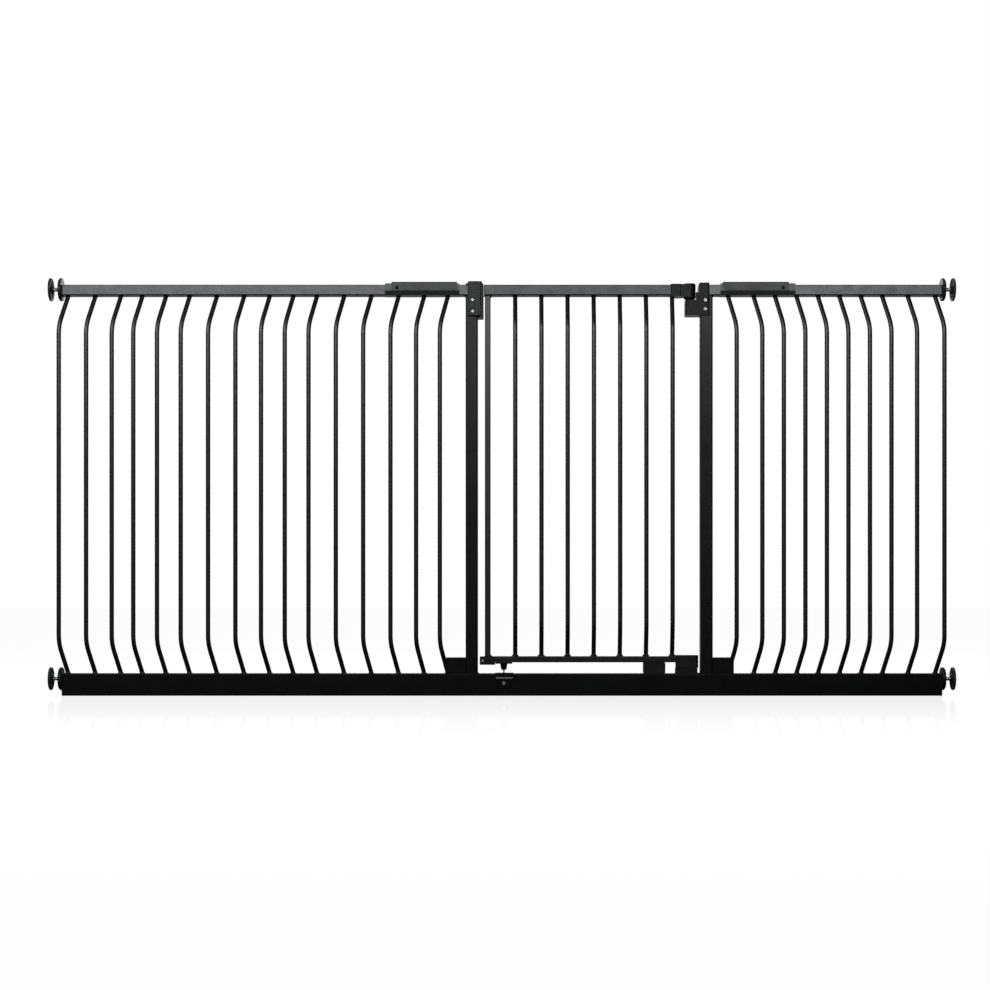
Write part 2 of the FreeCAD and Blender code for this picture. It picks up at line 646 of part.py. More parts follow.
def foot_fitting_screws():
    outer = DOOR_BOTTOM_DEPTH / 2 + 2.2
    return facing_screws(FITTING_SCREWS, outer, 3.6, 1.4, 2.0, 11.0)


def foot_clamp():
    """The folded plate that holds the pin's guide to the bottom rail."""
    half = DOOR_BOTTOM_DEPTH / 2
    x = (-15.9, 25.3)
    shell = block(x, both_faces(half + 2.1), (77.6, 92.7), 1.5, "X")
    rail_space = block((x[0] - 1, x[1] + 1), both_faces(half + 0.1), (DOOR_BOTTOM_RAIL[0] - 0.05, 99.0))
    bore = rod(V(FOOT_PIN_X, 0, 70.0), V(FOOT_PIN_X, 0, 90.0), FOOT_PIN_RADIUS + RUNNING_GAP)
    return shell.cut(rail_space).cut(bore)


def foot_pin_guide():
    nose = cone(V(FOOT_PIN_X, 0, 62.4), V(FOOT_PIN_X, 0, 66.5), 4.6, 7.3)
    taper = cone(V(FOOT_PIN_X, 0, 66.5), V(FOOT_PIN_X, 0, 77.6), 7.3, 8.9)
    bore = rod(V(FOOT_PIN_X, 0, 60.0), V(FOOT_PIN_X, 0, 80.0), FOOT_PIN_RADIUS + RUNNING_GAP)
    return nose.fuse(taper).cut(bore)


def foot_pin():
    """The pin, drawn up, its tip just above the catch."""
    return rod(V(FOOT_PIN_X, 0, BASE_HEIGHT + 2.0), V(FOOT_PIN_X, 0, 91.0), FOOT_PIN_RADIUS)


def catch_plate():
    """The angle plate on the base that the foot pin drops into."""
    x = (-16.5, 27.8)
    front = -HALF_DEPTH
    top, shoulder, bottom = BASE_HEIGHT + 1.6, 38.0, 18.8
    taper = 11.0
    outline = [V(x[0], front - 0.1, top), V(x[1], front - 0.1, top), V(x[1], front - 0.1, shoulder),
               V(x[1] - taper, front - 0.1, bottom), V(x[0] + taper, front - 0.1, bottom),
               V(x[0], front - 0.1, shoulder)]
    plate = Part.Face(Part.makePolygon(outline + outline[:1])).extrude(V(0, -2.5, 0))
    plate = plate.makeFillet(3.0, [edge for edge in edges_along(plate, "Y") if edge.CenterOfMass.z < top - 1])
    shelf = block(x, (front - 2.0, 10.0), (BASE_HEIGHT + 0.1, top))
    ridge = block((x[0] + 1, x[1] - 1), (front - 4.2, front - 2.0), (41.0, 44.0))
    hole = rod(V(FOOT_PIN_X, 0, 50.0), V(FOOT_PIN_X, 0, 60.0), 2.4)
    return pierced(plate.fuse(shelf).fuse(ridge).cut(hole), [(FOOT_PIN_X, 30.5)])


# ---------------------------------------------------------------------------
# Fasteners
# ---------------------------------------------------------------------------

def facing_screws(seats, outer_y, head_radius, head_height, shank_radius, shank_length):
    """A screw on the front and one on the back at each (x, z)."""
    screws = []
    for x, z in seats:
        front = socket_screw(V(x, -outer_y, z), V(0, -1, 0), head_radius, head_height,
                             shank_radius, shank_length)
        screws += [front, mirrored_y(front)]
    return group(screws)


def cover_screws():
    outer = HALF_DEPTH + LINER_WALL + COVER_WALL + 0.2
    return facing_screws(COVER_SCREWS, outer, 4.2, 1.6, 2.0, 7.0)


def latch_screws():
    return facing_screws(LATCH_SCREWS, HOUSING_DEPTH - RECESS_DEPTH, 5.0, 3.2, 2.0, 11.0)


def hinge_bracket_screws():
    return facing_screws(HINGE_SCREWS, HALF_DEPTH + 4.0, 4.6, 2.0, 2.0, 9.0)


def catch_screw():
    seat = V(FOOT_PIN_X, -HALF_DEPTH - 2.6, 30.5)
    return socket_screw(seat, V(0, -1, 0), 4.6, 2.0, 2.0, 9.0)


# ---------------------------------------------------------------------------
# Every piece, by name
# ---------------------------------------------------------------------------

def build():
    left_screw, right_screw = COVER_SCREWS
    post_left_face = LEFT_POST_X - POST_WIDTH / 2
    post_right_face = RIGHT_POST_X + POST_WIDTH / 2
    left_last_bar = LEFT_FIRST_BAR + sum(LEFT_PITCHES)
    front_cover = latch_cover(-HOUSING_DEPTH)
    parts = {
        "base_tube": base_tube(),
        "left_post": post(LEFT_POST_X, LATCH_SCREWS),
        "right_post": post(RIGHT_POST_X, HINGE_SCREWS),
        "top_stubs": top_stubs(),
        "left_foot_bracket": foot_bracket((BASE_LEFT, post_left_face), left_last_bar, -BOW_OUT),
        "right_foot_bracket": foot_bracket((post_right_face, BASE_RIGHT), RIGHT_FIRST_BAR, BOW_OUT),
        "left_panel_top_rail": top_rail((-RAIL_END_X, BASE_LEFT), left_screw),
        "left_panel_bottom_rail": bottom_rail((-RAIL_END_X, BASE_LEFT)),
        "left_panel_bars": panel_bars(LEFT_FIRST_BAR, LEFT_PITCHES, -BOW_OUT),
        "right_panel_top_rail": top_rail((BASE_RIGHT, RAIL_END_X), right_screw),
        "right_panel_bottom_rail": bottom_rail((BASE_RIGHT, RAIL_END_X)),
        "right_panel_bars": panel_bars(RIGHT_FIRST_BAR, RIGHT_PITCHES, BOW_OUT),
        "left_rail_liner": rail_liner(LEFT_LINER, left_screw),
        "left_rail_cover": rail_cover(LEFT_COVER, left_screw, LEFT_COVER[1], 2.5),
        "right_rail_liner": rail_liner(RIGHT_LINER, right_screw),
        "right_rail_cover": rail_cover(RIGHT_COVER, right_screw, RIGHT_COVER[0], COVER_CORNER),
        "cover_screws": cover_screws(),
        "joining_tubes": joining_tubes(),
        "top_rail_end_plugs": end_plugs(UPPER_SPINDLE_Z, (RAIL_BOTTOM, RAIL_TOP)),
        "bottom_rail_end_plugs": end_plugs(LOWER_SPINDLE_Z, (0, BASE_HEIGHT)),
        "latch_front_cover": front_cover,
        "latch_rear_cover": mirrored_y(front_cover),
        "latch_keeper": latch_keeper(),
        "latch_top_cap": latch_top_cap(),
        "latch_screws": latch_screws(),
        "latch_bolt": latch_bolt(),
        "latch_thumb_slide": latch_thumb_slide(),
        "upper_hinge_bracket": upper_hinge_bracket(),
        "hinge_bracket_screws": hinge_bracket_screws(),
        "right_stub_plug": right_stub_plug(),
        "upper_hinge_pin": upper_hinge_pin(),
        "lower_hinge_pin": lower_hinge_pin(),
        "lower_hinge_seat": lower_hinge_seat(),
        "lower_hinge_cam": lower_hinge_cam(),
        "door_hinge_cap": door_hinge_cap(),
        "door_latch_cap": door_latch_cap(),
        "door_top_rail": door_top_rail(),
        "door_bottom_rail": door_bottom_rail(),
        "door_stile": door_stile(),
        "door_bars": door_bars(),
        "door_rest_block": door_rest_block(),
        "door_foot_fitting": door_foot_fitting(),
        "foot_fitting_screws": foot_fitting_screws(),
        "foot_clamp": foot_clamp(),
        "foot_pin_guide": foot_pin_guide(),
        "foot_pin": foot_pin(),
        "catch_plate": catch_plate(),
        "catch_screw": catch_screw(),
    }
    for level, z in (("upper", UPPER_SPINDLE_Z), ("lower", LOWER_SPINDLE_Z)):
        for hand, side in (("left", -1), ("right", 1)):
            corner = level + "_" + hand
            parts[corner + "_spindle"] = spindle(side, z)
            parts[corner + "_pad"] = wall_pad(side, z)
            parts[corner + "_wheel"] = hand_wheel(side, z)
    return parts


def main():
    os.makedirs("parts", exist_ok=True)
    for name, shape in build().items():
        shape.exportStep(os.path.join("parts", name + ".step"))
        print(name, len(shape.Solids), "solids", round(shape.Volume / 1000, 2), "cm3", shape.isValid())


main()
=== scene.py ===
import math

import bmesh
import bpy
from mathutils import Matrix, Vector, noise


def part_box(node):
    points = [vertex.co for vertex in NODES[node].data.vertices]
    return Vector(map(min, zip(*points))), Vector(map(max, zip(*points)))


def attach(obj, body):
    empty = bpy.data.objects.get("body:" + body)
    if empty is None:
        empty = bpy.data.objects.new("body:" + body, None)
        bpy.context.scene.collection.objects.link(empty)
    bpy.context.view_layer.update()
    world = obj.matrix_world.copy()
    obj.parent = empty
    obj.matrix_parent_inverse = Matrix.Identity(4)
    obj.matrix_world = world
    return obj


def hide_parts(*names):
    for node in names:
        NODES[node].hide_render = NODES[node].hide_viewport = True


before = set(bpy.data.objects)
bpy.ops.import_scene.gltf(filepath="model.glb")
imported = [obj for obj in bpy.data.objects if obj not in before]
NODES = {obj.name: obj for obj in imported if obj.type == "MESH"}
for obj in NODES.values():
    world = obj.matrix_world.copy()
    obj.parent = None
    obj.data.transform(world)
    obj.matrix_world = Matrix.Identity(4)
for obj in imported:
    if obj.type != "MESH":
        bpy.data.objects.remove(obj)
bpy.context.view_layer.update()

# ---------------------------------------------------------------------------
# The looks of a black pressure-fit safety gate.
# Metres. +X runs along the gate, +Y away from the front, +Z up.
# ---------------------------------------------------------------------------

MM = 0.001

# Camera
CAMERA_DISTANCE = 5.0
CAMERA_HEIGHT = 0.25
FIELD_WIDTH = 2.4156          # what the picture spans at the gate
SENSOR = 36.0
CAMERA_SHIFT = (-0.007, 0.099)

# Bars, as they leave the rails
BAR_RADIUS = 5.5 * MM
BOW_OUT = 19.0
BOW_FORWARD = 20.0
BOW_RISE = 73.0

# Corner hardware
THREAD_RADIUS = 5.0 * MM
THREAD_ROOT = 4.15 * MM
THREAD_PITCH = 1.5 * MM
THREAD_SEGMENTS = 20
CORNERS = [level + "_" + hand for level in ("upper", "lower") for hand in ("left", "right")]

# The wall pad's outline: (distance in from the wall, radius), in millimetres
PAD_OUTLINE = [
    (0.9, 0.0), (0.9, 5.2), (0.1, 6.0), (0.1, 10.0), (0.9, 10.8), (0.9, 13.2),
    (0.1, 14.0), (0.1, 18.4), (0.9, 19.2), (0.9, 21.4), (0.1, 22.2), (0.0, 26.2),
    (0.4, 27.4), (1.4, 27.95), (2.9, 27.95), (3.1, 27.2), (3.5, 27.2), (3.7, 27.9),
    (5.0, 27.8), (5.7, 27.2), (6.0, 26.2), (5.6, 24.4), (4.9, 22.6), (4.8, 14.0),
    (5.2, 12.2), (6.2, 11.1), (9.9, 8.5), (10.4, 7.9), (10.5, 7.2), (10.5, 5.1),
    (2.5, 5.1), (2.5, 0.0),
]
PAD_RIBS = 8
PAD_RIB_REACH = (9.5, 25.0)
WHEEL_RIBS = 12
WHEEL_RIB_REACH = (9.0, 23.5)

# The raised ring on a wheel's outer face: (depth in from the hub's face, radius), in millimetres
WHEEL_RIM_OUTLINE = [
    (2.8, 23.2), (1.5, 23.5), (1.2, 24.0), (1.2, 25.0), (1.5, 25.5), (2.8, 25.8), (2.8, 23.2),
]


# ---------------------------------------------------------------------------
# Shader helpers
# ---------------------------------------------------------------------------

class Finish:
    """One node material, built a texture at a time in the gate's own metres."""

    def __init__(self, name):
        self.material = bpy.data.materials.new(name)
        self.material.use_nodes = True
        self.tree = self.material.node_tree
        self.surface = self.tree.nodes["Principled BSDF"]
        self.place = self.tree.nodes.new("ShaderNodeTexCoord").outputs["Object"]

    def link(self, source, target):
        self.tree.links.new(source, target)

    def grain(self, scale, detail=2.0, stretch=(1.0, 1.0, 1.0)):
        """Noise from 0 to 1, with features about 1/scale metres across."""
        mapping = self.tree.nodes.new("ShaderNodeMapping")
        mapping.inputs["Scale"].default_value = stretch
        self.link(self.place, mapping.inputs["Vector"])
        texture = self.tree.nodes.new("ShaderNodeTexNoise")
        texture.inputs["Scale"].default_value = scale
        texture.inputs["Detail"].default_value = detail
        self.link(mapping.outputs["Vector"], texture.inputs["Vector"])
        return texture.outputs[0]

    def cells(self, scale):
        """Distance to the nearest of many scattered points, from 0 to about 1."""
        texture = self.tree.nodes.new("ShaderNodeTexVoronoi")
        texture.inputs["Scale"].default_value = scale
        self.link(self.place, texture.inputs["Vector"])
        return texture.outputs["Distance"]

    def remap(self, value, source, target):
        node = self.tree.nodes.new("ShaderNodeMapRange")
        for socket, number in zip(("From Min", "From Max", "To Min", "To Max"), source + target):
            node.inputs[socket].default_value = number
        self.link(value, node.inputs["Value"])
        return node.outputs["Result"]

    def colours(self, factor, first, second):
        """A colour between two, by a factor; first may be an earlier result."""
        node = self.tree.nodes.new("ShaderNodeMix")
        node.data_type = "RGBA"
        self.link(factor, node.inputs[0])
        if isinstance(first, tuple):
            node.inputs[6].default_value = first + (1.0,)
        else:
            self.link(first, node.inputs[6])
        node.inputs[7].default_value = second + (1.0,)
        return node.outputs[2]

    def relief(self, height, depth, below=None):
        """A bump of some depth in metres, on top of an earlier one."""
        node = self.tree.nodes.new("ShaderNodeBump")
        node.inputs["Distance"].default_value = depth
        self.link(height, node.inputs["Height"])
        if below is not None:
            self.link(below, node.inputs["Normal"])
        return node.outputs["Normal"]

    def height_step(self, height, low, high):
        """A value that changes from low to high at a height above the floor."""
        axes = self.tree.nodes.new("ShaderNodeSeparateXYZ")
        self.link(self.place, axes.inputs[0])
        return self.remap(axes.outputs["Z"], (height - 0.7 * MM, height + 0.7 * MM), (low, high))

    def finish(self, colour, roughness, normal, metallic=0.0, specular=0.5):
        self.link(colour, self.surface.inputs["Base Color"])
        self.link(roughness, self.surface.inputs["Roughness"])
        self.link(normal, self.surface.inputs["Normal"])
        self.surface.inputs["Metallic"].default_value = metallic
        if isinstance(specular, float):
            self.surface.inputs["Specular IOR Level"].default_value = specular
        else:
            self.link(specular, self.surface.inputs["Specular IOR Level"])
        return self.material


def tinted(grey, red=1.0, green=1.0, blue=1.0):
    return (grey * red, grey * green, grey * blue)


# ---------------------------------------------------------------------------
# Materials
# ---------------------------------------------------------------------------

def powder_coat(name, grey, roughness, specular, peel_depth=0.00004, painted_shade_below=None):
    """Satin black powder coat: orange peel, fine specks and slow shade changes."""
    finish = Finish(name)
    drift = finish.grain(7.0, 3.0)
    colour = finish.colours(finish.remap(drift, (0.3, 0.7), (0.0, 1.0)),
                            tinted(grey * 0.8), tinted(grey * 1.25, 0.98, 1.0, 1.04))
    specks = finish.remap(finish.grain(1900.0, 1.0), (0.62, 0.74), (0.0, 0.3))
    colour = finish.colours(specks, colour, tinted(grey * 3.2))
    rough = finish.remap(finish.grain(38.0, 4.0), (0.3, 0.7), (roughness - 0.03, roughness + 0.04))
    peel = finish.relief(finish.grain(420.0, 2.0), peel_depth)
    peel = finish.relief(finish.cells(1500.0), peel_depth / 4, peel)
    # painted shade: below the given height the specular level drops, so that the face there reads dark as
    # if in shade
    if painted_shade_below is not None:
        specular = finish.height_step(painted_shade_below, SHADE_SPECULAR, specular)
    return finish.finish(colour, rough, peel, specular=specular)


def moulded_plastic(name, grey, roughness, specular):
    """Spark-textured nylon: pitted grain, flow marks and a few scuffs."""
    finish = Finish(name)
    flow = finish.grain(22.0, 3.0, (1.0, 1.0, 2.4))
    colour = finish.colours(finish.remap(flow, (0.35, 0.65), (0.0, 1.0)),
                            tinted(grey * 0.85), tinted(grey * 1.2, 1.0, 1.0, 1.02))
    scuffs = finish.remap(finish.grain(260.0, 3.0, (1.0, 1.0, 0.12)), (0.66, 0.78), (0.0, 0.35))
    colour = finish.colours(scuffs, colour, tinted(grey * 2.6))
    rough = finish.remap(finish.grain(90.0, 3.0), (0.3, 0.7), (roughness - 0.05, roughness + 0.05))
    pits = finish.relief(finish.cells(1150.0), 0.00004)
    pits = finish.relief(finish.grain(2400.0, 2.0), 0.00002, pits)
    return finish.finish(colour, rough, pits, specular=specular)


def bright_zinc(name, dull, bright):
    """Clear-passivated zinc on steel: cool, finely brushed, with dull patches."""
    finish = Finish(name)
    patches = finish.remap(finish.grain(240.0, 4.0), (0.35, 0.65), (0.0, 1.0))
    colour = finish.colours(patches, tinted(dull, 0.93, 1.0, 1.05), tinted(bright, 0.93, 1.0, 1.05))
    rough = finish.remap(finish.grain(520.0, 3.0), (0.3, 0.7), (0.34, 0.50))
    brushed = finish.relief(finish.grain(900.0, 2.0, (5.0, 1.0, 1.0)), 0.00003)
    return finish.finish(colour, rough, brushed, metallic=1.0)


def black_rubber(name):
    """Matt moulded rubber with a dusty bloom."""
    finish = Finish(name)
    bloom = finish.remap(finish.grain(130.0, 5.0), (0.4, 0.75), (0.0, 1.0))
    colour = finish.colours(bloom, tinted(0.008), tinted(0.022, 1.0, 0.98, 0.96))
    rough = finish.remap(finish.grain(300.0, 2.0), (0.3, 0.7), (0.42, 0.62))
    skin = finish.relief(finish.grain(1300.0, 3.0), 0.00005)
    return finish.finish(colour, rough, skin, specular=0.4)


# painted shade: the specular level of a painted face below its shade height
SHADE_SPECULAR = 0.05
RAIL_SHADE_HEIGHT = 976.8 * MM        # painted shade: the flat face is dulled below this, with no bend there
LINER_SHADE_HEIGHT = 985.5 * MM        # painted shade: a liner's face is dulled below its cover

# The gate's paint is one powder coat, but its copies here differ in grey and specular level as painted
# light: the panels' top rails are the palest and glossiest, a painted highlight; the bars are darker, and
# the frame's pieces darkest and dullest, a painted shade.
FINISHES = {
    "rail": powder_coat("powder_coat_rails", 0.0080, 0.31, 0.58, painted_shade_below=RAIL_SHADE_HEIGHT),
    "door": powder_coat("powder_coat_door", 0.0062, 0.31, 0.40),
    "door_rail": powder_coat("powder_coat_door_rail", 0.0062, 0.31, 0.42, painted_shade_below=RAIL_SHADE_HEIGHT),
    "liner": powder_coat("liner_face", 0.0062, 0.31, 0.45, painted_shade_below=LINER_SHADE_HEIGHT),
    "cover": powder_coat("powder_coat_covers", 0.0062, 0.33, 0.3),
    "bar": powder_coat("powder_coat_bars", 0.0050, 0.28, 0.42, 0.000006),
    "frame": powder_coat("powder_coat_frame", 0.0032, 0.31, 0.17),
    "weld": powder_coat("powder_coat_welds", 0.0045, 0.38, 0.25),
    # painted highlight: the fold is painted light grey, far paler than the black paint around it, for the
    # light it catches
    "fold": powder_coat("fold_painted_highlight", 0.16, 0.4, 0.5),
    "plastic": moulded_plastic("moulded_plastic", 0.0045, 0.38, 0.26),
    "housing": moulded_plastic("housing_plastic_grain", 0.0060, 0.38, 0.2),
    "hinge": moulded_plastic("hinge_plastic_grain", 0.0042, 0.34, 0.11),
    "dark_screw": powder_coat("black_screw_plate", 0.0030, 0.36, 0.06),
    # painted shade: the screws' and pins' zinc is a darker copy of the thread's, toned down so that they
    # don't shine white under the front light
    "zinc": bright_zinc("screw_zinc", 0.22, 0.36),
    "thread": bright_zinc("thread_zinc", 0.60, 0.86),
    "rubber": black_rubber("black_rubber"),
}

# Finish and edge rounding (millimetres) of every CAD piece that stays in view
NODE_LOOKS = {
    "rail": {"left_panel_top_rail": 0.3, "right_panel_top_rail": 0.3, "top_stubs": 0.3,
             "joining_tubes": 0.3},
    "door_rail": {"door_top_rail": 0.3},
    "liner": {"left_rail_liner": 0.3, "right_rail_liner": 0.3},
    "door": {"door_bottom_rail": 0.3, "door_stile": 0.3, "foot_clamp": 0.4},
    "cover": {"left_rail_cover": 0.4, "right_rail_cover": 0.4},
    "bar": {"left_panel_bars": 0.0, "right_panel_bars": 0.0, "door_bars": 0.0},
    "frame": {"base_tube": 0.3, "left_post": 0.3, "right_post": 0.3, "left_foot_bracket": 0.5,
              "right_foot_bracket": 0.5, "left_panel_bottom_rail": 0.3, "catch_plate": 0.4,
              "right_panel_bottom_rail": 0.3},
    "plastic": {"top_rail_end_plugs": 0.4,
                "bottom_rail_end_plugs": 0.4, "right_stub_plug": 0.6,
                "lower_hinge_seat": 0.5, "lower_hinge_cam": 0.7,
                "door_latch_cap": 0.4, "door_rest_block": 0.9, "door_foot_fitting": 0.6,
                "foot_pin_guide": 0.5, "upper_left_wheel": 0.3, "upper_right_wheel": 0.3,
                "lower_left_wheel": 0.3, "lower_right_wheel": 0.3},
    "housing": {"latch_front_cover": 1.0, "latch_rear_cover": 1.0, "latch_keeper": 0.8,
                "latch_top_cap": 0.5, "latch_thumb_slide": 0.3},
    "hinge": {"upper_hinge_bracket": 0.7, "door_hinge_cap": 0.7},
    "dark_screw": {"cover_screws": 0.2},
    "zinc": {"latch_screws": 0.0, "hinge_bracket_screws": 0.0,
             "foot_fitting_screws": 0.0, "catch_screw": 0.0, "latch_bolt": 0.3,
             "upper_hinge_pin": 0.3, "lower_hinge_pin": 0.3, "foot_pin": 0.2},
}


def soften(node, width):
    """Round the node's hard edges a little, so that they catch the light."""
    weld = node.modifiers.new("joined_skin", "WELD")
    weld.merge_threshold = 0.000002
    edge = node.modifiers.new("rounded_edges", "BEVEL")
    edge.width = width
    edge.segments = 2
    edge.limit_method = "ANGLE"
    edge.angle_limit = math.radians(38)
    edge.use_clamp_overlap = True
    shading = node.modifiers.new("even_shading", "WEIGHTED_NORMAL")
    shading.keep_sharp = True


def dress_nodes():
    for look, rounding in NODE_LOOKS.items():
        for name, width in rounding.items():
            NODES[name].material_slots[0].material = FINISHES[look]
            if width > 0:
                soften(NODES[name], width * MM)


# ---------------------------------------------------------------------------
# Mesh helpers
# ---------------------------------------------------------------------------

class Skin:
    """Points and faces collected for one mesh."""

    def __init__(self):
        self.points = []
        self.faces = []

    def add(self, point):
        self.points.append(point)
        return len(self.points) - 1

    def ring(self, points):
        return [self.add(point) for point in points]

    def bridge(self, first, second):
        """Faces between two closed rings; a ring of one point is a tip."""
        count = max(len(first), len(second))
        for i in range(count):
            j = (i + 1) % count
            if len(first) == 1:
                self.faces.append((first[0], second[j], second[i]))
            elif len(second) == 1:
                self.faces.append((first[i], first[j], second[0]))
            else:
                self.faces.append((first[i], first[j], second[j], second[i]))

    def loft(self, rings):
        """A closed skin through rings of points, flat at both ends."""
        rings = [self.ring(points) for points in rings]
        for first, second in zip(rings, rings[1:]):
            self.bridge(first, second)
        self.faces.append(tuple(reversed(rings[0])))
        self.faces.append(tuple(rings[-1]))

    def piece(self, name, look, slot, body, crease=35.0):
        mesh = bpy.data.meshes.new(name)
        mesh.from_pydata([tuple(point) for point in self.points], [], self.faces)
        mesh.validate()
        outward = bpy.data.meshes.new(name)
        outward_faces(mesh, outward)
        outward.materials.append(FINISHES[look])
        outward.shade_smooth()
        outward.set_sharp_from_angle(angle=math.radians(crease))
        piece = bpy.data.objects.new(name, outward)
        bpy.context.scene.collection.objects.link(piece)
        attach(piece, body)
        return piece


def outward_faces(source, target):
    """Copy a mesh with its faces turned outward."""
    work = bmesh.new()
    work.from_mesh(source)
    bmesh.ops.recalc_face_normals(work, faces=work.faces)
    work.to_mesh(target)
    work.free()


def circle(centre, across, upward, radius, count, wobble=None):
    """Points round a circle; wobble(i) changes the radius point by point."""
    points = []
    for i in range(count):
        angle = 2 * math.pi * i / count
        reach = radius + (wobble(i) if wobble else 0.0)
        points.append(centre + across * reach * math.cos(angle) + upward * reach * math.sin(angle))
    return points


# ---------------------------------------------------------------------------
# Welds at the ends of the bars and the stile
# ---------------------------------------------------------------------------

WELD_SEGMENTS = 22
WELD_RINGS = 5
WELD_SINK = 0.4 * MM
STILE_BEAD = 4.2 * MM
FREE_SIDE_BEAD = 1.6 * MM     # on the stile's free side, where the latch keeper is close


# The fold on the catch plate
RIDGE_HEIGHT = 43.0 * MM
RIDGE_RADIUS = 2.0 * MM
RIDGE_END = [(0.0, 0.3), (0.6, 0.8), (1.6, 1.0)]   # (millimetres in, share of the radius)


def bar_ends(node, at_top):
    """The middle of each bar's cut end, at the node's lowest or highest level."""
    points = [vertex.co for vertex in NODES[node].data.vertices]
    level = max(p.z for p in points) if at_top else min(p.z for p in points)
    ends = sorted((p for p in points if abs(p.z - level) < 0.1 * MM), key=lambda p: p.x)
    bars = [[ends[0]]]
    for point in ends[1:]:
        if point.x - bars[-1][-1].x > 4 * BAR_RADIUS:
            bars.append([])
        bars[-1].append(point)
    middles = []
    for bar in bars:
        x = (min(p.x for p in bar) + max(p.x for p in bar)) / 2
        y = (min(p.y for p in bar) + max(p.y for p in bar)) / 2
        middles.append(Vector((x, y, level)))
    return middles


def weld_bead(skin, middle, lean, up, flare, rise):
    """A fillet of weld from a rail's face to the skin of a leaning bar."""
    rings = []
    for ring in range(WELD_RINGS + 1):
        share = ring / WELD_RINGS
        height = rise * share - (WELD_SINK if ring == 0 else 0.0)
        centre = middle + Vector((lean[0] * height, lean[1] * height, up * height))
        reach = BAR_RADIUS - 0.15 * MM + flare * (1 - share) ** 1.6

        def ripple(i, ring=ring, share=share):
            angle = 2 * math.pi * i / WELD_SEGMENTS
            spot = Vector((2.2 * math.cos(angle), 2.2 * math.sin(angle), ring * 0.7 + middle.x * 900))
            return flare * 0.28 * (1 - share) * noise.noise(spot)

        rings.append(circle(centre, Vector((1, 0, 0)), Vector((0, 1, 0)), reach, WELD_SEGMENTS, ripple))
    skin.loft(rings)


def bar_welds(name, node, body, sideways, foot_flare, head_flare):
    skin = Skin()
    lean = (sideways * BOW_OUT / BOW_RISE, -BOW_FORWARD / BOW_RISE)
    for middle in bar_ends(node, at_top=False):
        weld_bead(skin, middle, lean, 1.0, foot_flare, foot_flare + 1.2 * MM)
    for middle in bar_ends(node, at_top=True):
        weld_bead(skin, middle, lean, -1.0, head_flare, 3.0 * MM)
    return skin.piece(name, "weld", "powder_coat", body)


def edge_bead(skin, x, y, z, up, outward, size):
    """A straight fillet along Y, in the corner between an upright and a rail."""
    steps = 26
    rings = []
    for step in range(steps + 1):
        along = y[0] + (y[1] - y[0]) * step / steps
        swell = size * (1.0 + 0.22 * noise.noise(Vector((step * 0.9, x * 500, z * 500))))
        end = min(1.0, 0.35 + min(step, steps - step) * 0.4)
        swell *= end
        corner = Vector((x, along, z))
        rings.append([corner + Vector((-outward * WELD_SINK, 0, -up * WELD_SINK)),
                      corner + Vector((outward * swell, 0, -up * WELD_SINK)),
                      corner + Vector((outward * swell * 0.82, 0, up * swell * 0.2)),
                      corner + Vector((outward * swell * 0.38, 0, up * swell * 0.46)),
                      corner + Vector((outward * swell * 0.16, 0, up * swell * 0.9)),
                      corner + Vector((-outward * WELD_SINK, 0, up * swell))])
    skin.loft(rings)


def stile_welds():
    low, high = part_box("door_stile")
    skin = Skin()
    for z, up in ((low.z, 1.0), (high.z, -1.0)):
        for x, outward, size in ((low.x, -1.0, FREE_SIDE_BEAD), (high.x, 1.0, STILE_BEAD)):
            edge_bead(skin, x, (low.y + MM, high.y - MM), z, up, outward, size)
    return skin.piece("door_stile_welds", "weld", "powder_coat", "door")


def frame_welds():
    """Beads between the posts and the base and stubs, and under the foot brackets."""
    skin = Skin()
    left_low, left_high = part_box("left_post")
    right_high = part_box("right_post")[1]
    across = (left_low.y + 4.5 * MM, left_high.y - 4.5 * MM)
    edge_bead(skin, left_high.x, across, left_low.z, 1.0, 1.0, 3.0 * MM)
    edge_bead(skin, left_low.x, across, left_high.z, -1.0, -1.0, 3.2 * MM)
    edge_bead(skin, right_high.x, across, right_high.z, -1.0, 1.0, 3.2 * MM)
    for bracket, outward in (("left_foot_bracket", -1.0), ("right_foot_bracket", 1.0)):
        low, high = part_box(bracket)
        x = (low.x if outward < 0 else high.x) - outward * 1.5 * MM
        edge_bead(skin, x, (low.y + 2.5 * MM, high.y - 2.5 * MM), low.z, 1.0, outward, 2.4 * MM)
    return skin.piece("frame_welds", "weld", "powder_coat", "frame")


def catch_ridge():
    """The rounded fold across the front of the foot pin's catch."""
    low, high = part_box("catch_plate")
    centre_y = low.y + 1.6 * MM
    stations = [(low.x + MM + inset * MM, share) for inset, share in RIDGE_END]
    stations += [(high.x - MM - inset * MM, share) for inset, share in reversed(RIDGE_END)]
    rings = []
    for x, share in stations:
        centre = Vector((x, centre_y, RIDGE_HEIGHT))
        rings.append(circle(centre, Vector((0, 1, 0)), Vector((0, 0, 1)), RIDGE_RADIUS * share, 20))
    skin = Skin()
    skin.loft(rings)
    # its finish is a painted highlight: light grey against the black plate
    return skin.piece("catch_plate_ridge", "fold", "powder_coat", "frame")


# ---------------------------------------------------------------------------
# Corner hardware: threaded spindle, wall pad and the ribs of the hand wheel
# ---------------------------------------------------------------------------

